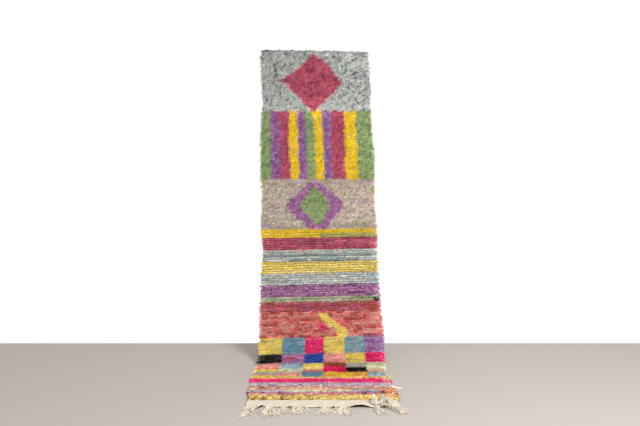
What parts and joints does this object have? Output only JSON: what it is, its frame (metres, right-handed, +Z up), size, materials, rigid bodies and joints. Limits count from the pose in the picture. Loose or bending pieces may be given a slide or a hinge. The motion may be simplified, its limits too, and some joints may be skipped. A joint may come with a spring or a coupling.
{
  "type": "berber runner rug hung from a wall",
  "caption": "Long knotted wool runner draped from a high hanging edge down to the floor, with bands, checks and diamonds of bright yarn and a knotted cream fringe.",
  "frame": {"origin": "on the floor, under the middle of the whole piece's reach", "axes": "+Z up, +Y towards the wall that holds the top edge, so the fringe points to -Y; +X to the right as seen from the front"},
  "size_m": [0.9075, 1.6943, 2.1985],
  "materials": {
    "wool_pile": "matt knotted wool pile in many yarn colours",
    "cream_flatweave": "matt flat-woven cream wool",
    "cream_warp": "matt twisted cream warp yarn"
  },
  "bodies": {
    "root": {"pile_field": "wool_pile", "end_skirt": "cream_flatweave", "fringe": "cream_warp"}
  },
  "joints": []
}
